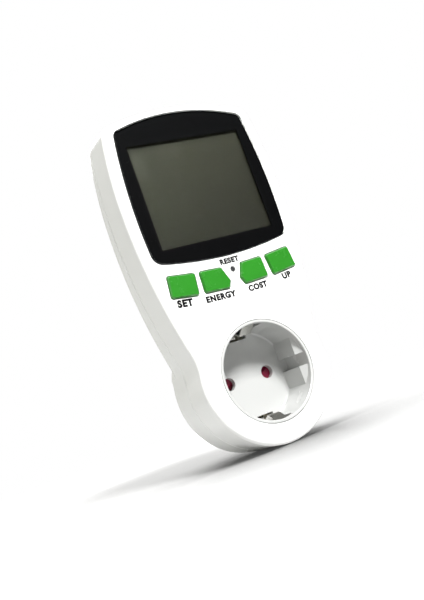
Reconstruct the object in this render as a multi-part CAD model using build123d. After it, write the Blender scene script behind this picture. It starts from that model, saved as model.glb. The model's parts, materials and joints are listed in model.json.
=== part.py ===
from build123d import *

import os
from math import cos, radians, sin, sqrt, tan

# Plug-in power meter: a wall plug at the back, a display and four keys in the middle of the front,
# and a socket for the measured appliance at the bottom.
# Frame: +X right and +Z up as seen from the front, +Y towards the wall. The origin is midway between
# the plug pins, on the plug's engagement face, and the front socket shares the plug's axis. Millimetres.

# Depths along Y. The case is a wedge: thickest round the plug and thinnest at the top.
PLUG_FACE_Y = 0.0
BACK_Y = PLUG_FACE_Y - 17.5  # back of the round plug base
END_DEPTH = 29.0
TOP_DEPTH = 20.4
FRONT_Y = BACK_Y - END_DEPTH
SEAM_Y = FRONT_Y + 15.0
WALL = 2.2
PLATE_Y = FRONT_Y + WALL  # inner face of the front plate
FLOOR_Y = BACK_Y - WALL  # inner face of the plug base

# Case outline at the seam: a round end about the socket, bowed sides and an arched top
END_R = 29.8
HALF_WIDTH = 37.9
WIDEST_Z = 76.0
LOWER_SIDE_R = 240.0
UPPER_SIDE_R = 187.0
TOP_Z = 116.4
TOP_CORNER_Z = 110.9
CASE_DRAFT = 1.0
TOP_CORNER_R = 6.0
WAIST_R = 20.0
FRONT_EDGE_R = 2.0
BACK_EDGE_R = 4.6
BASE_R = 30.5
BASE_EDGE_R = 2.2
SEAM_BEVEL = 0.3

# Display lens, printed mask, glass and frame
LENS_HALF_WIDTH = 33.0
LENS_WIDEST_Z = 73.0
LENS_SIDE_R = 222.0
LENS_TOP_Z = 113.6
LENS_TOP_R = 91.0
LENS_BOTTOM_Z = 49.0
LENS_BOTTOM_R = 156.0
LENS_CORNER_R = (3.5, 5.0)  # upper and lower corners
LENS_BEVEL = 0.45
LENS_PROUD = 0.6
LENS_T = 1.85
LENS_GAP = 0.12
MASK_T = 0.15
WINDOW = (52.8, 44.4)  # visible display, width and height
WINDOW_Z = 79.5
GLASS = (55.2, 49.2)
GLASS_Z = 77.8
GLASS_T = 2.4
GLASS_Y = FRONT_Y + 2.4
GLASS_LEDGE = 2.4  # bare contact ledge at the foot of the rear glass
FRAME_WALL = 1.1
FRAME_OPENING = (46.0, 38.0)
REFLECTOR_T = 0.45
ZEBRA = (50.0, 2.2)
ZEBRA_Z = GLASS_Z - GLASS[1] / 2 + 1.6

# Blank rating label in a shallow seat on the back
LABEL = (40.0, 42.0)
LABEL_Z = 64.0
LABEL_SEAT = 0.2
LABEL_T = 0.15
LABEL_CORNER_R = 1.5

# Keys and their switches
KEY_PROUD = 1.0
KEY_DRAFT = 28.0  # slope of the proud part's sides
KEY_BEVEL = (KEY_PROUD - 0.1) * tan(radians(KEY_DRAFT))
KEY_GAP = 0.3
KEY_FLANGE = 0.6
KEY_CORNER_R = 0.5
KEY_EDGE_R = 0.2
KEY_STEM_R = 1.6
# flat tops before they are turned to follow the lens: x from, x to, z from, z to
OUTER_KEY = (17.9, 29.1, 37.5, 45.7)
OUTER_KEY_TURN = 6.5
INNER_KEY = [(3.9, 36.6), (14.6, 36.6), (14.6, 44.7), (5.3, 44.7), (2.9, 39.2)]
INNER_KEY_TURN = 2.7
OUTER_SWITCH = (23.5, 41.6)
INNER_SWITCH = (9.2, 40.6)
RESET_SWITCH = (0.6, 43.2)
RESET_HOLE_R = 1.25
SWITCH_SIZE = 6.0
RESET_SWITCH_SIZE = 4.5
SWITCH_H = 3.1
PLUNGER_R = 1.75
PLUNGER_TOP_Y = FRONT_Y + 3.6
RESET_TOP_Y = FRONT_Y + 0.5
RESET_PLUNGER_R = 1.05
PLUNGER_GAP = 0.08

# Boards
BOARD_T = 1.6
DISPLAY_BOARD_Y = FRONT_Y + 7.9  # front face
DISPLAY_BOARD = (-30.0, 30.0, 33.4, 103.6)
DISPLAY_TAB = (-5.0, 5.0, DISPLAY_BOARD[3] - 1, 110.0)  # carries the upper screw
BOARD_CORNER_R = 1.5
CONTROLLER = (0.0, 53.0)
CONTROLLER_SIZE = (10.0, 1.5)  # width and height
CONTROLLER_PITCH = 0.8
CRYSTAL = (-15.0, 72.0)
CRYSTAL_SIZE = (7.0, 2.8, 1.9)
POWER_BOARD_Y = FRONT_Y + 16.6  # front face
POWER_BOARD = (-27.0, 27.0, 30.0, 84.0)
X_CAPACITOR = (-20.0, -2.0, 58.0, 70.0, 5.2)  # x from, x to, z from, z to, height
BULK_CAPACITOR = (11.0, 66.0)
BULK_CAPACITOR_R = 2.6
BULK_CAPACITOR_LENGTH = 11.0
VARISTOR = (8.0, 55.0)
VARISTOR_R = 4.4
VARISTOR_T = 3.6
FUSE = (-9.0, 51.0)
FUSE_R = 2.5
FUSE_LENGTH = 19.0
FUSE_Y = POWER_BOARD_Y - 2.7
FUSE_CLIP_X = (-15.5, -2.5)
SHUNT_X = -18.0
SHUNT_Z = (36.0, 45.0)
SHUNT_H = 4.2
METERING_CHIP = (2.0, 12.0, 37.0, 43.0, 1.7)
DIODE_X = 19.5
DIODE_Z = 40.0
DIODE_PITCH = 4.2
CABLE_Z = (75.0, 81.0)
CABLE = (0.9, 10.0)  # thickness and width

# Socket: 19 mm hole spacing, round recess with a guide groove each side and two earth clips
CASE_HOLE_R = 21.2
RIM_R = 20.95
CUP_R = 19.75
SKIRT_R = 22.2
RECESS_DEPTH = 17.5
CUP_FLOOR_Y = FRONT_Y + RECESS_DEPTH
CUP_FLOOR_T = 2.5
PIN_SPACING = 19.0
PIN_HOLE_R = 2.75
GUIDE_FLAT = 17.0  # the pads beside the guide grooves end in a flat this far from the middle
GUIDE_HALF = 11.0
GUIDE_GROOVE = 5.2
GUIDE_LEAD = (0.8, 4.2)  # depths where the sloped lead-in starts and ends
CLIP_SLOT = 11.0
CLIP_SLOT_R = (16.2, 22.6)
CLIP_SLOT_DEPTH = 2.6

# Plug: 4.8 mm pins, 19 mm long, on a round grooved body
PIN_R = 2.4
PIN_LENGTH = 19.0
PIN_TIP_R = 1.6
PIN_SHOULDER_R = 2.8
PIN_HEAD_R = 3.4
PLUG_R = 18.4
PLUG_BORE_R = 16.0
PLUG_FACE_T = 2.5
PLUG_FLAT = 16.8  # flats each side of the guide ribs
PLUG_FLAT_HALF = 9.0
PLUG_RIB = 4.6
EARTH_NOTCH = 7.2
EARTH_NOTCH_R = 16.6

# Shutter and what is behind it
SHUTTER_Y = (CUP_FLOOR_Y + CUP_FLOOR_T + 0.3, CUP_FLOOR_Y + CUP_FLOOR_T + 3.1)
SHUTTER_R = 13.2
SHUTTER_HALF_ANGLE = 19.5
SHUTTER_HUB_R = 3.6
SHUTTER_RAMP = 3.4
PIVOT_R = 1.5
CARRIER_Y = SHUTTER_Y[1] + 0.3
CARRIER_FLANGE_R = 20.5
CARRIER_R = 16.6

# Earth strips
CLIP_WIDTH = 5.6
CLIP_T = 0.6
STRIP_WIDTH = 6.0
CLIP_FOOT_R = 20.1
STRIP_R = 17.1

# Return spring, contact sleeves and the pins' inner ends
SPRING_Z = 7.6
SPRING_X = (1.2, 6.8)
SPRING_R = 0.8
SPRING_WIRE_R = 0.14
SPRING_TURNS = 6
SLEEVE_R = 3.3
SLEEVE_BORE_R = 2.35
SLEEVE_Y = (CARRIER_Y + 0.2, -9.2)
SLEEVE_SLOT = 0.7
SLEEVE_FOOT = 4.0  # length of the sleeve that isn't slotted
PIN_HEAD_Y = -7.0
LINK_R = 2.9
BRIDGE = (4.0, 0.8, -12.4)  # width, thickness and rear face

# Battery and mains wires
BATTERY_Y = FRONT_Y + 14.5
BATTERY_Z = 94.5
BATTERY_R = 4.6
BATTERY_LENGTH = 17.4
WIRE_R = 1.05
WIRE_Z = 11.2  # where the wires leave the plug body

# Fasteners
CASE_SCREWS = [(-13.0, 107.2), (13.0, 107.2), (-25.6, 24.0), (25.6, 24.0)]
CASE_SCREW_R = 1.25
CASE_SCREW_HEAD_R = 2.35
CASE_SCREW_SEAT_Y = FRONT_Y + 17.2
COUNTERBORE_R = 2.7
DISPLAY_SCREWS = [(-28.0, 49.4), (28.0, 49.4), (0.0, 106.6)]
POWER_SCREWS = [(-23.5, 33.5), (23.5, 33.5), (-23.5, 80.5), (23.5, 80.5)]
BOARD_SCREW_R = 1.0
BOARD_SCREW_HEAD_R = 1.9
THREAD_GAP = 0.02
CASE_POST_R = (3.0, 3.9)  # in the front and in the rear shell
DISPLAY_POST_R = 2.1
POWER_POST_R = 2.2


# ---------------------------------------------------------------- helpers


def slab(profile, y_rear, y_front, taper=0.0):
    """Extrude a front-view profile from y_rear towards the viewer, narrowing by the taper angle."""
    return extrude(Plane.XZ.offset(-y_rear) * profile, amount=y_rear - y_front, taper=taper)


def disc(x, z, radius, y_rear, y_front):
    return slab(Pos(x, z) * Circle(radius), y_rear, y_front)


def block(x_from, x_to, z_from, z_to, y_rear, y_front):
    centre = Pos((x_from + x_to) / 2, (z_from + z_to) / 2)
    return slab(centre * Rectangle(x_to - x_from, z_to - z_from), y_rear, y_front)


def front_edges(solid):
    return solid.faces().sort_by(Axis.Y)[0].edges()


def rear_edges(solid):
    return solid.faces().sort_by(Axis.Y)[-1].edges()


def mirrored(shape):
    return mirror(shape, about=Plane.YZ)


def bowed_face(half_width, widest_z, lower_r, upper_r, top, bottom):
    """Symmetric face with bowed sides; top and bottom are (corner z, middle z)."""

    def side(z):
        radius = upper_r if z > widest_z else lower_r
        return half_width - radius + sqrt(radius**2 - (z - widest_z) ** 2)

    def side_arc(z_from, z_to, hand):
        middle = (z_from + z_to) / 2
        return ThreePointArc(*[(hand * side(z), z) for z in (z_from, middle, z_to)])

    edges = []
    for corner_z, middle_z in (top, bottom):
        x = side(corner_z)
        edges.append(ThreePointArc((-x, corner_z), (0, middle_z), (x, corner_z)))
    for hand in (-1, 1):
        edges.append(side_arc(bottom[0], widest_z, hand))
        edges.append(side_arc(widest_z, top[0], hand))
    return make_face(edges)


def case_face():
    body = bowed_face(
        HALF_WIDTH, WIDEST_Z, LOWER_SIDE_R, UPPER_SIDE_R, (TOP_CORNER_Z, TOP_Z), (0.0, -3.0)
    )
    face = body + Circle(END_R)
    face = fillet(face.vertices().group_by(Axis.Y)[-1], TOP_CORNER_R)
    waist = face.vertices().filter_by_position(Axis.Y, 4.0, 14.0)
    return fillet(waist, WAIST_R)


def lens_face(grow=0.0):
    """Lens outline with four bowed sides; growing the radii moves every side out by the same amount."""
    side = Pos(LENS_HALF_WIDTH - LENS_SIDE_R, LENS_WIDEST_Z) * Circle(LENS_SIDE_R + grow)
    top = Pos(0, LENS_TOP_Z - LENS_TOP_R) * Circle(LENS_TOP_R + grow)
    bottom = Pos(0, LENS_BOTTOM_Z + LENS_BOTTOM_R) * Circle(LENS_BOTTOM_R + grow)
    face = side & mirrored(side) & top & bottom
    upper_r, lower_r = LENS_CORNER_R
    face = fillet(face.vertices().group_by(Axis.Y)[-1], upper_r + grow)
    return fillet(face.vertices().group_by(Axis.Y)[0], lower_r + grow)


def turned(face, place, angle):
    """A face turned about a place."""
    x, z = place
    return Pos(x, z) * Rot(0, 0, angle) * Pos(-x, -z) * face


def key_faces():
    """The flat tops of the four keys, by name. They stand in an arc that follows the lens."""
    x_from, x_to, z_from, z_to = OUTER_KEY
    outer = Pos((x_from + x_to) / 2, (z_from + z_to) / 2) * RectangleRounded(
        x_to - x_from, z_to - z_from, KEY_CORNER_R
    )
    outer = turned(outer, OUTER_SWITCH, OUTER_KEY_TURN)
    inner = make_face(Polyline(*INNER_KEY, close=True))
    inner = turned(fillet(inner.vertices(), KEY_CORNER_R), INNER_SWITCH, INNER_KEY_TURN)
    return {
        "set": mirrored(outer),
        "energy": mirrored(inner),
        "cost": inner,
        "up": outer,
    }


def key_places():
    """The switch under each key, by name."""
    (outer_x, outer_z), (inner_x, inner_z) = OUTER_SWITCH, INNER_SWITCH
    return {
        "set": (-outer_x, outer_z),
        "energy": (-inner_x, inner_z),
        "cost": (inner_x, inner_z),
        "up": (outer_x, outer_z),
    }


def bent_strip(points, thickness, width, bend):
    """A metal strip of the given width along X, bent along points (y, z) in the YZ plane."""
    return extrude(Plane.YZ * trace(FilletPolyline(*points, radius=bend), thickness), width / 2, both=True)


# ---------------------------------------------------------------- casing


def front_shell():
    outline = case_face()
    shell = slab(outline, SEAM_Y, FRONT_Y, CASE_DRAFT)
    shell = fillet(front_edges(shell), FRONT_EDGE_R)
    shell = chamfer(rear_edges(shell), SEAM_BEVEL)
    shell -= slab(offset(outline, -WALL), SEAM_Y, PLATE_Y, CASE_DRAFT)
    for x, z in CASE_SCREWS:
        shell += disc(x, z, CASE_POST_R[0], SEAM_Y + 0.4, PLATE_Y)
        shell -= disc(x, z, CASE_SCREW_R + THREAD_GAP, SEAM_Y + 0.4, PLATE_Y + 2.5)
    for x, z in DISPLAY_SCREWS:
        shell += disc(x, z, DISPLAY_POST_R, DISPLAY_BOARD_Y, PLATE_Y)
        shell -= disc(x, z, BOARD_SCREW_R + THREAD_GAP, DISPLAY_BOARD_Y, PLATE_Y + 0.5)
    lens_seat_y = FRONT_Y - LENS_PROUD + LENS_T + MASK_T
    shell -= slab(lens_face(LENS_GAP), lens_seat_y, FRONT_Y)
    shell -= slab(Pos(0, WINDOW_Z) * Rectangle(WINDOW[0] + 2, WINDOW[1] + 2), PLATE_Y + 1, FRONT_Y)
    shell -= disc(0, 0, CASE_HOLE_R, PLATE_Y, FRONT_Y)
    shell -= disc(*RESET_SWITCH, RESET_HOLE_R, PLATE_Y, FRONT_Y)
    for face in key_faces().values():
        shell -= slab(offset(face, KEY_BEVEL + KEY_GAP), PLATE_Y, FRONT_Y)
    return shell


def plug_cutters(y_rear, y_front):
    """Cutters for the flats beside the plug's two guide ribs and for its two earth notches."""
    half = EARTH_NOTCH / 2
    cutters = []
    for hand in (-1, 1):
        cutters.append(block(-half, half, hand * EARTH_NOTCH_R, hand * (PLUG_R + 1), y_rear, y_front))
        for side in (-1, 1):
            low, high = side * PLUG_RIB / 2, side * PLUG_FLAT_HALF
            cutters.append(block(hand * PLUG_FLAT, hand * (PLUG_R + 1), low, high, y_rear, y_front))
    return Compound(cutters)


def back_y(z):
    """The sloping back of the case at a height."""
    low_z = -END_R
    return BACK_Y - (END_DEPTH - TOP_DEPTH) * (z - low_z) / (TOP_Z - low_z)


def behind_back(inset):
    """Everything behind the sloping back, moved towards the front by the inset."""
    corners = [(back_y(z) - inset, z) for z in (-60, 160)]
    far = BACK_Y + 60
    profile = make_face(Polyline(*corners, (far, 160), (far, -60), close=True))
    return extrude(Plane.YZ * profile, 80, both=True)


def rear_shell():
    outline = case_face()
    base_outline = outline & Circle(BASE_R)
    shell = slab(outline, BACK_Y, SEAM_Y) - behind_back(0)
    shell = fillet(shell.faces().sort_by(Axis.Y)[-1].edges(), BACK_EDGE_R)
    shell += fillet(rear_edges(slab(base_outline, BACK_Y, SEAM_Y)), BASE_EDGE_R)
    shell = chamfer(front_edges(shell), SEAM_BEVEL)
    cavity = slab(offset(outline, -WALL), FLOOR_Y, SEAM_Y) - behind_back(WALL)
    shell -= fillet(cavity.faces().sort_by(Axis.Y)[-1].edges(), BACK_EDGE_R - WALL)
    shell -= slab(Circle(END_R - WALL - 1), FLOOR_Y, SEAM_Y)
    for x, z in CASE_SCREWS:
        shell += disc(x, z, CASE_POST_R[1], back_y(z) - 0.8, SEAM_Y + 0.5)
    # ribs that press on the socket's skirt, left and right of the wires
    skirt_ring = disc(0, 0, SKIRT_R, FLOOR_Y, CUP_FLOOR_Y + CUP_FLOOR_T)
    skirt_ring -= disc(0, 0, SKIRT_R - 1.4, FLOOR_Y, CUP_FLOOR_Y + CUP_FLOOR_T)
    skirt_ring -= block(-13, 13, -25, 25, FLOOR_Y, CUP_FLOOR_Y + CUP_FLOOR_T)
    shell += skirt_ring
    for x, z in POWER_SCREWS:
        shell += disc(x, z, POWER_POST_R, back_y(z) - 0.8, POWER_BOARD_Y + BOARD_T)
    plug = disc(0, 0, PLUG_R, PLUG_FACE_Y, BACK_Y - 0.5)
    plug = fillet(rear_edges(plug), 1.0)
    plug -= plug_cutters(PLUG_FACE_Y + 1, BACK_Y)
    shell += plug
    shell -= disc(0, 0, PLUG_BORE_R, PLUG_FACE_Y - PLUG_FACE_T, FLOOR_Y - 1)
    shell -= disc(0, 0, CARRIER_R + 0.2, BACK_Y + 1.7, FLOOR_Y - 1)
    for hand in (-1, 1):
        shell -= disc(hand * PIN_SPACING / 2, 0, PIN_SHOULDER_R + 0.02, PLUG_FACE_Y, -PLUG_FACE_T)
        # the earth strips leave the case through these slots
        half = EARTH_NOTCH / 2
        shell -= block(-half, half, hand * EARTH_NOTCH_R, hand * 17.9, BACK_Y, FLOOR_Y)
    for x, z in CASE_SCREWS:
        shell -= disc(x, z, COUNTERBORE_R, BACK_Y, CASE_SCREW_SEAT_Y)
        shell -= disc(x, z, CASE_SCREW_R + 0.2, CASE_SCREW_SEAT_Y, SEAM_Y)
    for x, z in POWER_SCREWS:
        shell -= disc(x, z, BOARD_SCREW_R + THREAD_GAP, back_y(z) - 1.0, POWER_BOARD_Y + BOARD_T)
    return shell - label_slab(0.3, -LABEL_SEAT, 1.0)


def label_slab(grow, start, end):
    """Rounded rectangle on the sloping back, between two distances behind its surface."""
    slope = (END_DEPTH - TOP_DEPTH) / (TOP_Z + END_R)
    plane = Plane(origin=(0, back_y(LABEL_Z), LABEL_Z), x_dir=(-1, 0, 0), z_dir=(0, 1, slope))
    width, height = LABEL
    profile = RectangleRounded(width + 2 * grow, height + 2 * grow, LABEL_CORNER_R + grow)
    return extrude(plane.offset(start) * profile, amount=end - start)


def rating_label():
    return label_slab(0, -LABEL_SEAT, -LABEL_SEAT + LABEL_T)


# ---------------------------------------------------------------- display


def display_lens():
    front = FRONT_Y - LENS_PROUD
    lens = slab(lens_face(), front + LENS_T, front)
    return chamfer(front_edges(lens), LENS_BEVEL)


def lens_mask():
    rear = FRONT_Y - LENS_PROUD + LENS_T + MASK_T
    mask = slab(lens_face(-0.3), rear, rear - MASK_T)
    return mask - slab(Pos(0, WINDOW_Z) * Rectangle(*WINDOW), rear, rear - MASK_T)


def lcd_panel():
    """Two glass plates, the front one shorter so that the contact ledge stays bare."""
    half = GLASS_T / 2
    rear = slab(Pos(0, GLASS_Z) * Rectangle(*GLASS), GLASS_Y + GLASS_T, GLASS_Y + half)
    shorter = Pos(0, GLASS_Z + GLASS_LEDGE / 2) * Rectangle(GLASS[0], GLASS[1] - GLASS_LEDGE)
    front = slab(shorter, GLASS_Y + half, GLASS_Y)
    return rear + front


def lcd_reflector():
    front = GLASS_Y + GLASS_T + 0.05
    film = Pos(0, GLASS_Z + 1.5) * Rectangle(GLASS[0] - 0.6, GLASS[1] - 4.0)
    return slab(film, front + REFLECTOR_T, front)


def lcd_frame():
    outer = RectangleRounded(GLASS[0] + 2 * FRAME_WALL, GLASS[1] + 2 * FRAME_WALL, 0.8)
    frame = slab(Pos(0, GLASS_Z) * outer, DISPLAY_BOARD_Y - 0.05, PLATE_Y + 0.1)
    seat = Pos(0, GLASS_Z) * Rectangle(GLASS[0] + 0.1, GLASS[1] + 0.1)
    frame -= slab(seat, GLASS_Y + GLASS_T + 0.6, PLATE_Y)
    frame -= slab(Pos(0, GLASS_Z + 1.5) * Rectangle(*FRAME_OPENING), DISPLAY_BOARD_Y, PLATE_Y)
    strip = Rectangle(ZEBRA[0] + 0.4, ZEBRA[1] + 0.4)
    return frame - slab(Pos(0, ZEBRA_Z) * strip, DISPLAY_BOARD_Y, PLATE_Y)


def zebra_strip():
    return slab(Pos(0, ZEBRA_Z) * Rectangle(*ZEBRA), DISPLAY_BOARD_Y, GLASS_Y + GLASS_T)


def display_board():
    rear = DISPLAY_BOARD_Y + BOARD_T
    board = block(*DISPLAY_BOARD, rear, DISPLAY_BOARD_Y)
    board = fillet(board.edges().filter_by(Axis.Y), BOARD_CORNER_R)
    board += block(*DISPLAY_TAB, rear, DISPLAY_BOARD_Y)
    for x, z in DISPLAY_SCREWS:
        board -= disc(x, z, BOARD_SCREW_R + 0.15, rear, DISPLAY_BOARD_Y)
    return board


def controller_chip():
    """Square chip with eleven legs on each side."""
    rear = DISPLAY_BOARD_Y + BOARD_T
    size, height = CONTROLLER_SIZE
    body = slab(Pos(*CONTROLLER) * Rectangle(size, size), rear + height, rear + 0.15)
    chip = chamfer(rear_edges(body), 0.25)
    for step in range(-5, 6):
        along = CONTROLLER_PITCH * step
        for x, z, leg in (
            (size / 2 + 0.5, along, Rectangle(1.4, 0.36)),
            (along, size / 2 + 0.5, Rectangle(0.36, 1.4)),
        ):
            for hand in (-1, 1):
                chip += slab(Pos(*CONTROLLER) * Pos(hand * x, hand * z) * leg, rear + 0.5, rear)
    return chip


def crystal():
    rear = DISPLAY_BOARD_Y + BOARD_T
    length, width, height = CRYSTAL_SIZE
    can = slab(Pos(*CRYSTAL) * SlotOverall(length, width), rear + height, rear)
    return fillet(rear_edges(can), 0.5)


# ---------------------------------------------------------------- keys


def switch_housing(place, size, plunger_r):
    top_y = DISPLAY_BOARD_Y - SWITCH_H
    housing = slab(Pos(*place) * Rectangle(size, size), DISPLAY_BOARD_Y, top_y)
    return housing - disc(*place, plunger_r + PLUNGER_GAP, top_y + 1.8, top_y)


def switch_housings():
    """One small square push switch under each key, and a smaller one behind the reset hole."""
    housings = [switch_housing(place, SWITCH_SIZE, PLUNGER_R) for place in key_places().values()]
    return Compound(housings + [switch_housing(RESET_SWITCH, RESET_SWITCH_SIZE, RESET_PLUNGER_R)])


def key_cap(name):
    face = key_faces()[name]
    base = offset(face, KEY_BEVEL)
    cap = slab(base, PLATE_Y, FRONT_Y - 0.1)
    cap += slab(base, FRONT_Y - 0.1, FRONT_Y - KEY_PROUD, KEY_DRAFT)
    cap += slab(offset(base, KEY_FLANGE), PLATE_Y + 0.85, PLATE_Y + 0.05)
    cap += disc(*key_places()[name], KEY_STEM_R, PLUNGER_TOP_Y, PLATE_Y)
    return fillet(front_edges(cap), KEY_EDGE_R)


def key_plunger(name):
    return disc(*key_places()[name], PLUNGER_R, DISPLAY_BOARD_Y - SWITCH_H + 1.0, PLUNGER_TOP_Y)


def reset_plunger():
    plunger = disc(*RESET_SWITCH, RESET_PLUNGER_R, DISPLAY_BOARD_Y - SWITCH_H + 1.0, RESET_TOP_Y)
    return chamfer(front_edges(plunger), 0.2)


# ---------------------------------------------------------------- socket


def guide_pads():
    """Pads above and below the guide groove on the right of the recess, with a sloped lead-in."""
    lead_from, lead_to = (FRONT_Y + depth for depth in GUIDE_LEAD)
    buried = CUP_R + 0.6
    rear = CUP_FLOOR_Y + 0.1
    corners = [(lead_from, buried), (lead_to, GUIDE_FLAT), (rear, GUIDE_FLAT), (rear, buried)]
    # drawn in (y, x): the plane's own x runs along +Y and its own y along +X
    plane = Plane(origin=(0, 0, 0), x_dir=(0, 1, 0), z_dir=(0, 0, -1))
    pads = extrude(plane * make_face(Polyline(*corners, close=True)), GUIDE_HALF, both=True)
    pads &= disc(0, 0, buried, rear, FRONT_Y)
    half = GUIDE_GROOVE / 2
    return pads - block(0, buried + 1, -half, half, rear, FRONT_Y)


def socket_insert():
    floor_rear = CUP_FLOOR_Y + CUP_FLOOR_T
    insert = disc(0, 0, RIM_R, floor_rear, FRONT_Y)
    insert = fillet(front_edges(insert), 0.25)
    insert += disc(0, 0, SKIRT_R, floor_rear, PLATE_Y + 0.05)
    cup = disc(0, 0, CUP_R, CUP_FLOOR_Y, FRONT_Y)
    insert -= fillet(rear_edges(cup), 0.8)
    rims = insert.edges().filter_by(GeomType.CIRCLE)
    rims = rims.filter_by_position(Axis.Y, FRONT_Y - 0.01, FRONT_Y + 0.01)
    insert = fillet(rims.sort_by(SortBy.RADIUS)[0], 0.4)
    pads = guide_pads()
    insert += pads
    insert += mirrored(pads)
    half = CLIP_SLOT / 2
    for hand in (-1, 1):
        near, far = (hand * r for r in CLIP_SLOT_R)
        insert -= block(-half, half, near, far, floor_rear, FRONT_Y + CLIP_SLOT_DEPTH)
        insert -= disc(hand * PIN_SPACING / 2, 0, PIN_HOLE_R, floor_rear, CUP_FLOOR_Y)
    insert += disc(0, 0, PIVOT_R, SHUTTER_Y[1], floor_rear - 0.5)
    return insert


def socket_shutter():
    """Two ramped wings on a hub. A pin pushes on the ramp and turns the wings off both holes."""
    front, rear = SHUTTER_Y
    reach = SHUTTER_R + 4
    edge = [
        (reach * cos(radians(a)), reach * sin(radians(a)))
        for a in (-SHUTTER_HALF_ANGLE, SHUTTER_HALF_ANGLE)
    ]
    wing = make_face(Polyline((0, 0), *edge, close=True)) & Circle(SHUTTER_R)
    wing = slab(wing, rear, front)
    # the ramp faces the viewer along the edge that trails when the shutter turns
    ramp = Rot(0, -SHUTTER_HALF_ANGLE, 0) * Pos(SHUTTER_R / 2, front, 0)
    ramp = ramp * Rot(45, 0, 0) * Box(2 * SHUTTER_R, SHUTTER_RAMP, SHUTTER_RAMP)
    wing -= ramp
    shutter = wing + Rot(0, 180, 0) * wing
    shutter += disc(0, 0, SHUTTER_HUB_R, rear, front)
    # arm that the return spring pushes on
    shutter += block(-1.0, 1.0, 0, 9.2, rear, front + 0.4)
    return shutter - disc(0, 0, PIVOT_R + 0.05, rear, front)


def shutter_spring():
    """Small compression spring between the shutter's arm and a post on the contact carrier."""
    length = SPRING_X[1] - SPRING_X[0]
    coil = Helix(pitch=length / SPRING_TURNS, height=length, radius=SPRING_R)
    wire = sweep((coil ^ 0) * Circle(SPRING_WIRE_R), path=coil)
    y_middle = (SHUTTER_Y[0] + SHUTTER_Y[1]) / 2
    return Pos(SPRING_X[0], y_middle, SPRING_Z) * Rot(0, 90, 0) * wire


def contact_carrier():
    """Insulating disc behind the shutter that holds the two contact sleeves in the plug body."""
    carrier = disc(0, 0, CARRIER_FLANGE_R, FLOOR_Y - 0.05, CARRIER_Y)
    carrier += disc(0, 0, CARRIER_R, BACK_Y + 1.5, FLOOR_Y - 0.1)
    rear = BACK_Y + 1.5
    for hand in (-1, 1):
        carrier -= disc(hand * PIN_SPACING / 2, 0, SLEEVE_R + 0.05, rear, CARRIER_Y)
        carrier -= block(hand * 8.0, hand * 11.0, 9.9, 21.0, rear, CARRIER_Y)
        carrier -= block(-5.2, 5.2, hand * 15.2, hand * 21.0, rear, CARRIER_Y)
    post_x = SPRING_X[1] + 0.05
    low, high = SPRING_Z - 1.3, SPRING_Z + 1.3
    return carrier + block(post_x, post_x + 1.25, low, high, CARRIER_Y, SHUTTER_Y[0])


def contact_sleeve(hand):
    """Slotted brass sleeve that grips an appliance plug's pin."""
    front, rear = SLEEVE_Y
    x = hand * PIN_SPACING / 2
    sleeve = disc(x, 0, SLEEVE_R - 0.03, rear, front) - disc(x, 0, SLEEVE_BORE_R, rear, front)
    sleeve = chamfer(front_edges(sleeve), 0.3)
    slot_rear = rear - SLEEVE_FOOT
    half = SLEEVE_SLOT / 2
    sleeve -= block(x - SLEEVE_R, x + SLEEVE_R, -half, half, slot_rear, front)
    return sleeve - block(x - half, x + half, -SLEEVE_R, SLEEVE_R, slot_rear, front)


def pin_link(hand):
    """Disc between a sleeve and its plug pin: brass on the neutral side, plastic on the live side."""
    return disc(hand * PIN_SPACING / 2, 0, LINK_R, PIN_HEAD_Y, SLEEVE_Y[1])


def plug_pin(hand):
    x = hand * PIN_SPACING / 2
    pin = disc(x, 0, PIN_R, PLUG_FACE_Y + PIN_LENGTH, PLUG_FACE_Y)
    pin = fillet(rear_edges(pin), PIN_TIP_R)
    pin += disc(x, 0, PIN_SHOULDER_R, PLUG_FACE_Y, -PLUG_FACE_T)
    return pin + disc(x, 0, PIN_HEAD_R, -PLUG_FACE_T, PIN_HEAD_Y)


def earth_contact(hand):
    """Sprung clip in the socket recess and contact strip on the plug, in one bent piece."""
    clip = bent_strip(
        [
            (FRONT_Y + 3.1, 20.3),
            (FRONT_Y + 8.1, 16.9),
            (FRONT_Y + 13.5, 19.9),
            (CUP_FLOOR_Y + 3.4, CLIP_FOOT_R),
        ],
        CLIP_T,
        CLIP_WIDTH,
        0.8,
    )
    elbow_y = SHUTTER_Y[1] - 1.0
    step = bent_strip(
        [
            (CUP_FLOOR_Y + 2.6, CLIP_FOOT_R),
            (elbow_y, CLIP_FOOT_R),
            (elbow_y, STRIP_R),
            (CARRIER_Y + 0.8, STRIP_R),
        ],
        CLIP_T,
        STRIP_WIDTH,
        0.7,
    )
    path = [(CARRIER_Y, STRIP_R), (-10.0, STRIP_R), (-1.0, STRIP_R + 0.05)]
    strip = bent_strip(path, CLIP_T, STRIP_WIDTH, 0.5)
    contact = clip + step + strip
    return contact if hand > 0 else mirror(contact, about=Plane.XY)


def earth_bridge():
    """Bar that joins the two earth contacts between the sleeves."""
    width, thickness, rear = BRIDGE
    half = PLUG_BORE_R - 0.4
    return block(-width / 2, width / 2, -half, half, rear, rear - thickness)


# ---------------------------------------------------------------- power board


def power_board():
    rear = POWER_BOARD_Y + BOARD_T
    board = block(*POWER_BOARD, rear, POWER_BOARD_Y)
    board = fillet(board.edges().filter_by(Axis.Y), BOARD_CORNER_R)
    for x, z in POWER_SCREWS:
        board -= disc(x, z, BOARD_SCREW_R + 0.15, rear, POWER_BOARD_Y)
    return board


def on_power_board(x_from, x_to, z_from, z_to, height):
    return block(x_from, x_to, z_from, z_to, POWER_BOARD_Y, POWER_BOARD_Y - height)


def lying(x, y, z, radius, length):
    """Cylinder along X."""
    return Pos(x, y, z) * Rot(0, 90, 0) * Cylinder(radius, length)


def x_capacitor():
    body = on_power_board(*X_CAPACITOR)
    return fillet(body.edges().filter_by(Axis.Y) + front_edges(body), 0.6)


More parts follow.
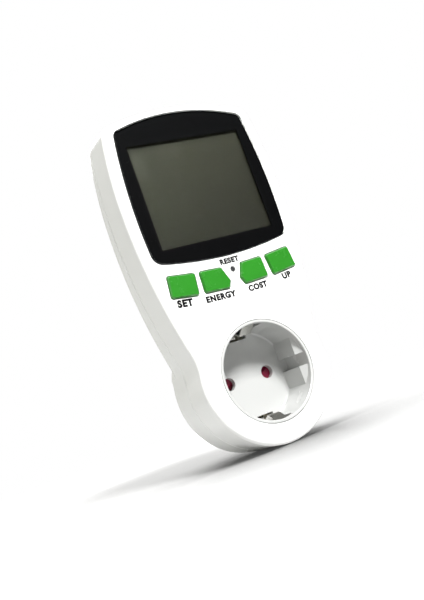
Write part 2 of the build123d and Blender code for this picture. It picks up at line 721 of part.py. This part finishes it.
def bulk_capacitor():
    x, z = BULK_CAPACITOR
    can = lying(x, POWER_BOARD_Y - BULK_CAPACITOR_R, z, BULK_CAPACITOR_R, BULK_CAPACITOR_LENGTH)
    return fillet(can.edges(), 0.4)


def varistor():
    """Round disc lying flat on the board."""
    body = disc(*VARISTOR, VARISTOR_R, POWER_BOARD_Y, POWER_BOARD_Y - VARISTOR_T)
    return fillet(front_edges(body), 0.8)


def fuse():
    x, z = FUSE
    return fillet(lying(x, FUSE_Y, z, FUSE_R, FUSE_LENGTH).edges(), 0.3)


def fuse_clips():
    z = FUSE[1]
    half = FUSE_R + 0.6
    clips = []
    for x in FUSE_CLIP_X:
        clip = on_power_board(x - 2, x + 2, z - half, z + half, 3.6)
        clips.append(clip - lying(x, FUSE_Y, z, FUSE_R + 0.02, 6))
    return Compound(clips)


def shunt_resistor():
    top = POWER_BOARD_Y - SHUNT_H
    low, high = SHUNT_Z
    path = [(POWER_BOARD_Y, low), (top, low), (top, high), (POWER_BOARD_Y, high)]
    return Pos(SHUNT_X, 0, 0) * bent_strip(path, 0.6, 4.0, 1.0)


def metering_chip():
    """Small chip with eight legs on each long side."""
    x_from, x_to, z_from, z_to, _ = METERING_CHIP
    body = on_power_board(*METERING_CHIP)
    body = chamfer(front_edges(body), 0.25)
    pitch = (x_to - x_from - 1.2) / 7
    for step in range(8):
        x = x_from + 0.6 + pitch * step
        for low, high in ((z_from - 1.4, z_from + 0.2), (z_to - 0.2, z_to + 1.4)):
            body += on_power_board(x - 0.2, x + 0.2, low, high, 0.6)
    return body


def rectifier_diodes():
    diodes = []
    for step in range(4):
        place = (DIODE_X, POWER_BOARD_Y - 1.4, DIODE_Z + DIODE_PITCH * step)
        diodes.append(lying(*place, 1.3, 5.0) + lying(*place, 0.4, 9.0))
    return Compound(diodes)


# ---------------------------------------------------------------- battery and wiring


def backup_battery():
    return fillet(lying(0, BATTERY_Y, BATTERY_Z, BATTERY_R, BATTERY_LENGTH).edges(), 0.6)


def battery_holder():
    """Saddle on the rear shell's floor with two end stops."""
    half = BATTERY_LENGTH / 2
    saddle = block(-half - 1.4, half + 1.4, BATTERY_Z - 5, BATTERY_Z + 5, BACK_Y, BATTERY_Y + 2.0)
    saddle -= behind_back(WALL + 0.02)
    return saddle - lying(0, BATTERY_Y, BATTERY_Z, BATTERY_R + 0.1, BATTERY_LENGTH + 0.2)


def board_cable():
    """Flat cable from the power board to the display board."""
    rear = DISPLAY_BOARD_Y + BOARD_T
    middle = (POWER_BOARD_Y + rear) / 2
    low, high = CABLE_Z
    path = [(POWER_BOARD_Y, low), (middle, low), (middle, high), (rear, high)]
    return bent_strip(path, *CABLE, 1.6)


def mains_wire(hand):
    """Insulated wire from a plug pin's head up to the power board's lower edge."""
    x = hand * PIN_SPACING / 2
    low = PIN_HEAD_Y + 2.0
    run = FilletPolyline(
        (x, low, PIN_HEAD_R),
        (x, low, WIRE_Z),
        (x, FLOOR_Y - 2.0, WIRE_Z),
        (x, FLOOR_Y - 2.0, 21.5),
        (x, POWER_BOARD_Y + BOARD_T + WIRE_R + 0.02, 27.5),
        (x, POWER_BOARD_Y + BOARD_T + WIRE_R + 0.02, 36.0),
        radius=2.4,
    )
    return sweep((run ^ 0) * Circle(WIRE_R), path=run)


# ---------------------------------------------------------------- screws


def screw(x, z, radius, head_r, head_y, head_h, tip_y, facing):
    """Pan head screw; facing is +1 when the head looks towards +Y and -1 when it looks at the viewer."""
    top = head_y + facing * head_h
    head = disc(x, z, head_r, max(head_y, top), min(head_y, top))
    head = fillet((rear_edges if facing > 0 else front_edges)(head), head_h * 0.5)
    for width, height in ((head_r * 1.2, 0.5), (0.5, head_r * 1.2)):
        recess_floor = top - facing * head_h * 0.55
        head -= slab(
            Pos(x, z) * Rectangle(width, height), max(recess_floor, top), min(recess_floor, top)
        )
    return head + disc(x, z, radius, max(head_y, tip_y), min(head_y, tip_y))


def case_screws():
    return Compound(
        [
            screw(x, z, CASE_SCREW_R, CASE_SCREW_HEAD_R, CASE_SCREW_SEAT_Y, 1.9, PLATE_Y + 4.0, 1)
            for x, z in CASE_SCREWS
        ]
    )


def display_board_screws():
    seat = DISPLAY_BOARD_Y + BOARD_T
    return Compound(
        [
            screw(x, z, BOARD_SCREW_R, BOARD_SCREW_HEAD_R, seat, 1.3, PLATE_Y + 1.0, 1)
            for x, z in DISPLAY_SCREWS
        ]
    )


def power_board_screws():
    return Compound(
        [
            screw(x, z, BOARD_SCREW_R, BOARD_SCREW_HEAD_R, POWER_BOARD_Y, 1.3, back_y(z) - 1.3, -1)
            for x, z in POWER_SCREWS
        ]
    )


# ---------------------------------------------------------------- all parts


def all_parts():
    parts = {
        "front_shell": front_shell(),
        "rear_shell": rear_shell(),
        "rating_label": rating_label(),
        "display_lens": display_lens(),
        "lens_mask": lens_mask(),
        "lcd_panel": lcd_panel(),
        "lcd_reflector": lcd_reflector(),
        "lcd_frame": lcd_frame(),
        "zebra_strip": zebra_strip(),
        "display_board": display_board(),
        "controller_chip": controller_chip(),
        "crystal": crystal(),
        "switch_housings": switch_housings(),
        "reset_plunger": reset_plunger(),
        "socket_insert": socket_insert(),
        "socket_shutter": socket_shutter(),
        "shutter_spring": shutter_spring(),
        "contact_carrier": contact_carrier(),
        "live_contact": contact_sleeve(-1),
        "neutral_contact": contact_sleeve(1),
        "live_insulator": pin_link(-1),
        "neutral_link": pin_link(1),
        "live_pin": plug_pin(-1),
        "neutral_pin": plug_pin(1),
        "upper_earth_contact": earth_contact(1),
        "lower_earth_contact": earth_contact(-1),
        "earth_bridge": earth_bridge(),
        "power_board": power_board(),
        "x_capacitor": x_capacitor(),
        "bulk_capacitor": bulk_capacitor(),
        "varistor": varistor(),
        "fuse": fuse(),
        "fuse_clips": fuse_clips(),
        "shunt_resistor": shunt_resistor(),
        "metering_chip": metering_chip(),
        "rectifier_diodes": rectifier_diodes(),
        "backup_battery": backup_battery(),
        "battery_holder": battery_holder(),
        "board_cable": board_cable(),
        "live_wire": mains_wire(-1),
        "neutral_wire": mains_wire(1),
        "case_screws": case_screws(),
        "display_board_screws": display_board_screws(),
        "power_board_screws": power_board_screws(),
    }
    for name in key_places():
        parts[f"{name}_button"] = key_cap(name)
        parts[f"{name}_switch_plunger"] = key_plunger(name)
    return parts


os.makedirs("parts", exist_ok=True)
for node, shape in all_parts().items():
    export_step(shape, f"parts/{node}.step")
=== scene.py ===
import json
import math

import bpy
from mathutils import Matrix, Vector


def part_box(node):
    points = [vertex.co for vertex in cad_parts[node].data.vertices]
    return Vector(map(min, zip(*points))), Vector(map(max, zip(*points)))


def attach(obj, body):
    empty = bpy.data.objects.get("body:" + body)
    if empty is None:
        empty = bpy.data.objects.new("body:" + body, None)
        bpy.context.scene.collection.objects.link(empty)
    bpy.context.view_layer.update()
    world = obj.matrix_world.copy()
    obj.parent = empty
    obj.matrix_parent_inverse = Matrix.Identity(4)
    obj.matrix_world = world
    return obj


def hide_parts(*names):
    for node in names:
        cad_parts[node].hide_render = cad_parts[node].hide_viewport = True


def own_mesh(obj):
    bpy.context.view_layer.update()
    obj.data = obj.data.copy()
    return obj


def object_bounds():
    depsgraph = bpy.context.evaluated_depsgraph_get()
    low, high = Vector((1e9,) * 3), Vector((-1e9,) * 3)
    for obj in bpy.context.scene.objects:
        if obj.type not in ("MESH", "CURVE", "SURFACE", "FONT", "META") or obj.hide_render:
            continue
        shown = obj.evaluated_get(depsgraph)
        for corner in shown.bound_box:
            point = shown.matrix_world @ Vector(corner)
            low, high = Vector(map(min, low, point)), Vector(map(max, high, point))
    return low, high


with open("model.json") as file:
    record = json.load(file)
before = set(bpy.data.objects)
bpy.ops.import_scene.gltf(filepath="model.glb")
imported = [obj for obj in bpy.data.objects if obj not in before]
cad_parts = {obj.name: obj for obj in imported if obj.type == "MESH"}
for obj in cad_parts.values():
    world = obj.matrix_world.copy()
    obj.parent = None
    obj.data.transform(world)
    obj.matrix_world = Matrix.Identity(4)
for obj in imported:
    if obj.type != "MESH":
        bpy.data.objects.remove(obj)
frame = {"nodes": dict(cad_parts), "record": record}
CAD_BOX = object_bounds()

MM = 0.001
NODES = frame["nodes"]

# The camera's place and axes, in the object's frame, its lens in mm and the nearest and
# farthest distance it sees
CAMERA_AT = Vector((-161.8, -312.8, -4.8)) * MM
CAMERA_FORWARD = Vector((0.483, 0.867, 0.124)).normalized()
CAMERA_UP = Vector((0.239, -0.267, 0.934))
CAMERA_LENS = 46.8
CAMERA_CLIP = (0.01, 20.0)

CASE_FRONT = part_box("front_shell")[0].y
FLOOR_LEVEL = CAD_BOX[0].z

# The room round the object: where it is bright, the part of that direction over which it
# brightens, its strength at the dimmest and the brightest, and its tint
ROOM_BRIGHT_TOWARDS = Vector((-0.76, 0.62, -0.2))
ROOM_BRIGHTENS = (-0.6, 0.9)
ROOM_STRENGTH = (0.02, 0.85)
ROOM_TINT = (1.0, 1.0, 0.94, 1.0)

# Square lamps: place from the middle of the object, side in metres and power in watts
LAMPS = (
    ("key", (0.04, -0.80, 0.71), 0.25, 25.0),
    ("back", (0.30, 0.80, 0.80), 0.8, 10.0),
)

FLOOR_RADIUS = 0.7
# How near the object has to be to darken the floor, in metres, and how light the floor is
# where its view of the sky is half blocked and where it is almost open
FLOOR_SHADOW_REACH = 0.18
FLOOR_SHADOW = ((0.5, 0.10), (0.96, 0.80))
# What the floor adds to its own light for the camera alone: little near the object, where its
# shadow falls, and enough to be white far from it
FLOOR_GLOW_NEAR = 0.42
FLOOR_GLOW_FAR = 1.5

# Positions along a noise at which its two shades stand
NOISE_LOW, NOISE_HIGH = 0.3, 0.7
# A colour mix node has several sockets of the same name, so they are found by their place
MIX_FACTOR, MIX_FIRST, MIX_SECOND = 0, 6, 7
MIX_RESULT = 2


def in_scene(name, data):
    """A new object that is part of the scene."""
    made = bpy.data.objects.new(name, data)
    bpy.context.scene.collection.objects.link(made)
    return made


def mix_shaders(tree, factor, first, second):
    """A shader that goes from the first to the second as the factor goes from 0 to 1."""
    mixed = tree.nodes.new("ShaderNodeMixShader")
    for source, target in zip((factor, first, second), mixed.inputs):
        tree.links.new(source, target)
    return mixed.outputs["Shader"]


# ---------------------------------------------------------------- materials

class Surface:
    """One Principled material and the nodes that drive it, in object coordinates."""

    def __init__(self, name):
        self.material = bpy.data.materials.new(name)
        self.material.use_nodes = True
        self.tree = self.material.node_tree
        self.tree.nodes.clear()
        self.output = self.tree.nodes.new("ShaderNodeOutputMaterial")
        self.shader = self.node("ShaderNodeBsdfPrincipled")
        self.link(self.shader.outputs["BSDF"], self.output.inputs["Surface"])
        self.place = self.node("ShaderNodeTexCoord").outputs["Object"]

    def node(self, kind, **values):
        """A new node with these properties."""
        made = self.tree.nodes.new(kind)
        for key, value in values.items():
            setattr(made, key, value)
        return made

    def link(self, source, target):
        self.tree.links.new(source, target)

    def set(self, **values):
        """Even values on the shader's own sockets."""
        for key, value in values.items():
            self.shader.inputs[key.replace("_", " ")].default_value = value

    def stretched(self, scale):
        """Object coordinates scaled along each axis."""
        mapping = self.node("ShaderNodeMapping")
        mapping.inputs["Scale"].default_value = scale
        self.link(self.place, mapping.inputs["Vector"])
        return mapping.outputs["Vector"]

    def noise(self, size, detail=3.0, stretch=(1, 1, 1)):
        """Noise whose features are about this size in metres."""
        made = self.node("ShaderNodeTexNoise")
        made.inputs["Scale"].default_value = 1.0 / size
        made.inputs["Detail"].default_value = detail
        self.link(self.stretched(stretch), made.inputs["Vector"])
        return made.outputs["Fac"]

    def ramp(self, value, *stops):
        """Colours or greys at positions along a value."""
        made = self.node("ShaderNodeValToRGB")
        points = made.color_ramp.elements
        while len(points) < len(stops):
            points.new(0.5)
        for point, (position, colour) in zip(points, stops):
            point.position = position
            point.color = grey(colour) if isinstance(colour, (int, float)) else (*colour, 1.0)
        self.link(value, made.inputs["Fac"])
        return made.outputs["Color"]

    def colour(self, value, *stops):
        self.link(self.ramp(value, *stops), self.shader.inputs["Base Color"])

    def roughness(self, value, low, high):
        shade = self.ramp(value, (NOISE_LOW, low), (NOISE_HIGH, high))
        self.link(shade, self.shader.inputs["Roughness"])

    def bump(self, value, height, strength=1.0):
        """Relief of this height in metres."""
        made = self.node("ShaderNodeBump")
        made.inputs["Distance"].default_value = height
        made.inputs["Strength"].default_value = strength
        self.link(value, made.inputs["Height"])
        self.link(made.outputs["Normal"], self.shader.inputs["Normal"])


def grey(level):
    return (level, level, level, 1.0)


def shades(colour, spread):
    """Two close shades about a colour."""
    darker = tuple(c * (1 - spread) for c in colour)
    lighter = tuple(min(1.0, c * (1 + spread)) for c in colour)
    return (NOISE_LOW, darker), (NOISE_HIGH, lighter)


def moulded(name, colour, low, high, grain=0.8, relief=0.0, spread=0.02, coat=0.0,
            specular=0.5):
    """Injection-moulded plastic: faint flow marks, uneven gloss and a fine grain.

    The gloss goes from the roughness low to high. The grain's size and relief are in mm.
    """
    made = Surface(name)
    made.colour(made.noise(14 * MM), *shades(colour, spread))
    made.roughness(made.noise(6 * MM, 4.0), low, high)
    made.set(Coat_Weight=coat, Coat_Roughness=0.04, IOR=1.5, Specular_IOR_Level=specular)
    if relief:
        made.bump(made.noise(grain * MM, 2.0), relief * MM)
    return made.material


def metal(name, colour, low, high, along=(1, 1, 1), spread=0.05, relief=0.004):
    """Drawn or stamped metal with fine streaks along one direction."""
    made = Surface(name)
    made.colour(made.noise(3 * MM, 4.0), *shades(colour, spread))
    streaks = made.noise(0.5 * MM, 4.0, along)
    made.roughness(streaks, low, high)
    made.set(Metallic=1.0)
    made.bump(streaks, relief * MM, 0.6)
    return made.material


def clear_plastic(name):
    """Polished acrylic that lets the lamps through to what it covers."""
    made = Surface(name)
    made.set(Base_Color=(0.94, 0.96, 0.94, 1), Transmission_Weight=1.0, IOR=1.49)
    made.roughness(made.noise(20 * MM), 0.015, 0.035)
    to_lamp = made.node("ShaderNodeLightPath").outputs["Is Shadow Ray"]
    clear = made.node("ShaderNodeBsdfTransparent")
    clear.inputs["Color"].default_value = grey(0.9)
    mixed = mix_shaders(made.tree, to_lamp, made.shader.outputs["BSDF"], clear.outputs["BSDF"])
    made.link(mixed, made.output.inputs["Surface"])
    return made.material


# How fast a painted reflection lightens the display from its lower right to its upper left, per
# metre
DISPLAY_PAINTED_REFLECTION = (-5.0, 0.0, 9.0)


def display_glass(name):
    """A liquid crystal cell at rest: dark grey-green, a little lighter towards the upper left by a
    painted reflection.
    """
    made = Surface(name)
    tilt = made.node("ShaderNodeVectorMath", operation="DOT_PRODUCT")
    tilt.inputs[1].default_value = DISPLAY_PAINTED_REFLECTION
    made.link(made.place, tilt.inputs[0])
    # painted reflection: the cell's dark grey-green at the lower right, lighter at the upper left
    dark, light = (0.0052, 0.0053, 0.0026), (0.0135, 0.0138, 0.0075)
    made.colour(tilt.outputs["Value"], (0.45, dark), (0.95, light))
    made.roughness(made.noise(8 * MM), 0.42, 0.5)
    made.set(IOR=1.45, Specular_IOR_Level=0.2)
    return made.material


def layered(name, dark, light, pitch, axis):
    """Fine layers across one axis, as in an elastomer strip or a flat cable."""
    made = Surface(name)
    wave = made.node("ShaderNodeTexWave", bands_direction=axis)
    # at a scale of 1 the texture repeats about every third of a metre
    wave.inputs["Scale"].default_value = 1.0 / (pitch * MM) / math.tau * 2
    wave.inputs["Distortion"].default_value = 0.2
    made.link(made.place, wave.inputs["Vector"])
    made.colour(wave.outputs["Fac"], (0.35, dark), (0.65, light))
    made.roughness(made.noise(2 * MM), 0.5, 0.65)
    made.bump(wave.outputs["Fac"], 0.05 * MM)
    return made.material


def board(name):
    """Solder mask over copper: broad tracks and pours show as lighter green."""
    made = Surface(name)
    cells = made.node("ShaderNodeTexVoronoi", feature="DISTANCE_TO_EDGE", distance="MANHATTAN")
    cells.inputs["Scale"].default_value = 1.0 / (5 * MM)
    made.link(made.place, cells.inputs["Vector"])
    gap, copper = (0.012, 0.080, 0.035), (0.025, 0.160, 0.070)
    made.colour(cells.outputs["Distance"], (0.10, gap), (0.14, copper))
    made.roughness(made.noise(4 * MM), 0.28, 0.4)
    made.bump(cells.outputs["Distance"], 0.03 * MM)
    return made.material


# material slot: its finish, with the numbers in the order of the functions above
FINISHES = {
    "case_white": moulded(
        "gloss_white_abs", (0.86, 0.865, 0.85), 0.16, 0.24, 0.5, 0.0015, 0.01, 0.4
    ),
    "label_silver": moulded("satin_sticker", (0.74, 0.74, 0.73), 0.42, 0.5, 0.3, 0.002, 0.02),
    "lens_clear": clear_plastic("clear_acrylic"),
    "mask_black": moulded("black_print", (0.0015, 0.0017, 0.0022), 0.5, 0.6, specular=0.05),
    "lcd_glass": display_glass("display_cell"),
    "reflector_grey": moulded("reflector_film", (0.42, 0.43, 0.36), 0.4, 0.5, 0.2, 0.002),
    "black_plastic": moulded("black_moulding", (0.022, 0.022, 0.024), 0.4, 0.5, 0.4, 0.006),
    "zebra_rubber": layered("zebra_strip", (0.03, 0.03, 0.03), (0.6, 0.5, 0.45), 0.25, "X"),
    "board_green": board("solder_mask"),
    "chip_black": moulded("moulded_epoxy", (0.018, 0.018, 0.019), 0.5, 0.62, 0.15, 0.006),
    "steel": metal("zinc_plated_steel", (0.62, 0.62, 0.60), 0.24, 0.38, (1, 1, 6)),
    "key_green": moulded("gloss_green", (0.022, 0.190, 0.015), 0.2, 0.3, 0.5, 0.002, 0.04, 0.3),
    # the socket's white is set far darker than the case's: painted shade, standing in for the
    # shade deep in the socket's cup
    "socket_white": moulded(
        "gloss_white_socket_painted_shade", (0.48, 0.485, 0.475), 0.2, 0.28, 0.5, 0.0015, 0.01, 0.3
    ),
    "shutter_red": moulded("red_moulding", (0.24, 0.012, 0.045), 0.28, 0.36, 0.4, 0.002, 0.05),
    "carrier_cream": moulded("cream_moulding", (0.62, 0.58, 0.46), 0.4, 0.5, 0.4, 0.004),
    "brass": metal("bright_brass", (0.78, 0.56, 0.22), 0.2, 0.34, (1, 8, 1)),
    "nickel": metal("nickel_plate", (0.74, 0.73, 0.70), 0.14, 0.26, (1, 8, 1)),
    "capacitor_yellow": moulded("yellow_box", (0.80, 0.52, 0.03), 0.35, 0.45, 0.4, 0.004),
    "sleeve_black": moulded("shrink_sleeve_black", (0.02, 0.022, 0.04), 0.25, 0.35, 2.0, 0.01),
    "varistor_blue": moulded("epoxy_blue", (0.02, 0.07, 0.35), 0.25, 0.4, 1.2, 0.02, 0.08),
    "fuse_ceramic": moulded("white_ceramic", (0.82, 0.80, 0.74), 0.2, 0.3, 0.6, 0.003),
    "manganin": metal("resistance_alloy", (0.55, 0.36, 0.25), 0.3, 0.45, (8, 1, 1)),
    "battery_green": moulded("shrink_sleeve_green", (0.02, 0.20, 0.06), 0.25, 0.35, 2.0, 0.01),
    "cable_grey": layered("flat_cable", (0.25, 0.25, 0.26), (0.55, 0.55, 0.56), 1.27, "X"),
    "wire_brown": moulded("insulation_brown", (0.12, 0.045, 0.02), 0.3, 0.4, 1.0, 0.004),
    "wire_blue": moulded("insulation_blue", (0.015, 0.05, 0.32), 0.3, 0.4, 1.0, 0.004),
    "ink": moulded(
        "black_ink", (0.003, 0.003, 0.0035), 0.5, 0.6, 0.2, 0.001, 0.1, specular=0.1
    ),
}

for part in frame["record"]["subparts"]:
    shown = NODES[part["node"]]
    shown.data.materials.clear()
    shown.data.materials.append(FINISHES[part["material_slot"]])


# ---------------------------------------------------------------- printed words

def meshed(curve, finish):
    """The mesh of a curve or a word, in one finish."""
    drawn = in_scene("drawn", curve)
    bpy.context.view_layer.update()
    mesh = bpy.data.meshes.new_from_object(drawn)
    bpy.data.objects.remove(drawn)
    mesh.materials.clear()
    mesh.materials.append(FINISHES[finish])
    return mesh


INK_T = 0.03 * MM
# Before each word is scaled to its width
LETTER_SIZE = 3 * MM
LETTER_WEIGHT = 0.21 * MM  # added round each stroke
LETTER_SPACING = 1.16
# word, centre x and z in mm, width in mm, slope in degrees
WORDS = (
    ("RESET", 0.2, 46.9, 9.0, 0.0),
    ("SET", -25.1, 34.8, 6.9, -5.0),
    ("ENERGY", -9.1, 33.5, 14.0, -1.5),
    ("COST", 8.9, 33.6, 9.3, 1.5),
    ("UP", 24.0, 34.8, 4.5, 5.0),
)


def printed(word, x, z, width, slope):
    """A plain word in ink on the front face, centred, scaled to its width and sloped."""
    curve = bpy.data.curves.new("word", "FONT")
    curve.body = word
    curve.align_x = "CENTER"
    curve.align_y = "CENTER"
    curve.size = LETTER_SIZE
    curve.extrude = INK_T / 2
    curve.offset = LETTER_WEIGHT
    curve.space_character = LETTER_SPACING
    mesh = meshed(curve, "ink")
    across = [v.co.x for v in mesh.vertices]
    scale = width * MM / (max(across) - min(across))
    flat = Matrix.Diagonal((scale, scale, 1, 1))
    sloped = Matrix.Rotation(math.radians(slope), 4, "Z")
    upright = Matrix.Rotation(math.radians(90), 4, "X")
    place = Matrix.Translation((x * MM, CASE_FRONT - INK_T / 2, z * MM))
    mesh.transform(place @ upright @ sloped @ flat)
    piece = in_scene("print_" + word.lower(), mesh)
    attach(piece, "case")


for row in WORDS:
    printed(*row)


# ---------------------------------------------------------------- shutter spring

SPRING_TURNS = 6
SPRING_STEPS = 24  # straight pieces in a turn
SPRING_WIRE_R = 0.14 * MM
SPRING_SLIMMER = 0.17 * MM  # how far it stays inside its node, clear of the shutter's arm


def return_spring():
    """The shutter's coil spring, whose real counterpart shortens as the shutter's arm turns
    towards its seat; this one is fixed to the case at its node's length.
    """
    low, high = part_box("shutter_spring")
    middle = (low + high) / 2
    radius = (high.z - low.z) / 2 - SPRING_WIRE_R - SPRING_SLIMMER
    start, length = low.x + SPRING_WIRE_R, high.x - low.x - 2 * SPRING_WIRE_R
    curve = bpy.data.curves.new("coil", "CURVE")
    curve.dimensions = "3D"
    curve.bevel_depth = SPRING_WIRE_R
    curve.bevel_resolution = 3
    curve.use_fill_caps = True
    spline = curve.splines.new("POLY")
    steps = SPRING_TURNS * SPRING_STEPS
    spline.points.add(steps)
    for step, point in enumerate(spline.points):
        turn = math.tau * SPRING_TURNS * step / steps
        y, z = middle.y + radius * math.cos(turn), middle.z + radius * math.sin(turn)
        point.co = (start + length * step / steps, y, z, 1.0)
    piece = in_scene("return_spring", meshed(curve, "steel"))
    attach(piece, "case")
    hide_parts("shutter_spring")
    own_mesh(piece)


return_spring()


# ---------------------------------------------------------------- stage, light, camera

def floor():
    """A pale floor that fades out into the backdrop."""
    mesh = bpy.data.meshes.new("floor")
    far, level = FLOOR_RADIUS, FLOOR_LEVEL
    corners = [(-far, -far, level), (far, -far, level), (far, far, level), (-far, far, level)]
    mesh.from_pydata(corners, [], [(0, 1, 2, 3)])
    made = in_scene("floor", mesh)
    finish = Surface("pale_floor")
    # to the camera, the surface darkens softly where the object stands close over it
    near = finish.node("ShaderNodeAmbientOcclusion", samples=8)
    near.inputs["Distance"].default_value = FLOOR_SHADOW_REACH
    shadow = finish.ramp(near.outputs["AO"], *FLOOR_SHADOW)
    pale = finish.ramp(finish.noise(80 * MM), (NOISE_LOW, 0.44), (NOISE_HIGH, 0.46))
    by_camera = finish.node("ShaderNodeLightPath").outputs["Is Camera Ray"]
    shaded = finish.node("ShaderNodeMix", data_type="RGBA", blend_type="MULTIPLY")
    finish.link(by_camera, shaded.inputs[MIX_FACTOR])
    finish.link(pale, shaded.inputs[MIX_FIRST])
    finish.link(shadow, shaded.inputs[MIX_SECOND])
    finish.link(shaded.outputs[MIX_RESULT], finish.shader.inputs["Base Color"])
    finish.link(shadow, finish.shader.inputs["Emission Color"])
    finish.set(Roughness=0.6)
    # fades from 1 at the origin to 0 at the radius
    fade = finish.node("ShaderNodeTexGradient", gradient_type="SPHERICAL")
    flat = finish.stretched((1 / FLOOR_RADIUS, 1 / FLOOR_RADIUS, 0))
    finish.link(flat, fade.inputs["Vector"])
    glow = finish.ramp(fade.outputs["Fac"], (0.55, FLOOR_GLOW_FAR), (0.88, FLOOR_GLOW_NEAR))
    seen = finish.node("ShaderNodeMath", operation="MULTIPLY")
    finish.link(glow, seen.inputs[0])
    finish.link(by_camera, seen.inputs[1])
    finish.link(seen.outputs[0], finish.shader.inputs["Emission Strength"])
    clear = finish.node("ShaderNodeBsdfTransparent").outputs["BSDF"]
    there = finish.ramp(fade.outputs["Fac"], (0.0, 0.0), (0.5, 1.0))
    mixed = mix_shaders(finish.tree, there, clear, finish.shader.outputs["BSDF"])
    finish.link(mixed, finish.output.inputs["Surface"])
    mesh.materials.append(finish.material)


def lamp(name, offset, side, power):
    """A soft square lamp that shines at the middle of the object."""
    light = bpy.data.lights.new(name, "AREA")
    light.shape = "RECTANGLE"
    light.size = light.size_y = side
    light.energy = power
    made = in_scene(name, light)
    centre = (CAD_BOX[0] + CAD_BOX[1]) / 2
    made.location = centre + Vector(offset)
    made.rotation_euler = (-Vector(offset)).to_track_quat("-Z", "Y").to_euler()


def backdrop():
    """White to the camera. To all else, a room that is bright on the left and behind."""
    world = bpy.data.worlds.new("studio")
    bpy.context.scene.world = world
    world.use_nodes = True
    nodes, links = world.node_tree.nodes, world.node_tree.links
    nodes.clear()
    output = nodes.new("ShaderNodeOutputWorld")
    seen = nodes.new("ShaderNodeBackground")
    seen.inputs["Color"].default_value = grey(1.0)
    direction = nodes.new("ShaderNodeTexCoord").outputs["Generated"]
    towards = nodes.new("ShaderNodeVectorMath")
    towards.operation = "DOT_PRODUCT"
    towards.inputs[1].default_value = ROOM_BRIGHT_TOWARDS
    links.new(direction, towards.inputs[0])
    shade = nodes.new("ShaderNodeMapRange")
    shade.interpolation_type = "SMOOTHSTEP"
    shade.inputs["From Min"].default_value, shade.inputs["From Max"].default_value = ROOM_BRIGHTENS
    shade.inputs["To Min"].default_value, shade.inputs["To Max"].default_value = ROOM_STRENGTH
    links.new(towards.outputs["Value"], shade.inputs["Value"])
    room = nodes.new("ShaderNodeBackground")
    room.inputs["Color"].default_value = ROOM_TINT
    links.new(shade.outputs["Result"], room.inputs["Strength"])
    by_camera = nodes.new("ShaderNodeLightPath").outputs["Is Camera Ray"]
    mixed = mix_shaders(
        world.node_tree, by_camera, room.outputs["Background"], seen.outputs["Background"]
    )
    links.new(mixed, output.inputs["Surface"])


def camera():
    """The camera that the scene is seen through."""
    data = bpy.data.cameras.new("camera")
    data.lens = CAMERA_LENS
    data.clip_start, data.clip_end = CAMERA_CLIP
    made = in_scene("camera", data)
    right = CAMERA_FORWARD.cross(CAMERA_UP).normalized()
    up = right.cross(CAMERA_FORWARD)
    turn = Matrix((right, up, -CAMERA_FORWARD)).transposed().to_4x4()
    made.matrix_world = Matrix.Translation(CAMERA_AT) @ turn
    bpy.context.scene.camera = made


floor()
for row in LAMPS:
    lamp(*row)
backdrop()
camera()
bpy.context.scene.view_settings.view_transform = "Standard"
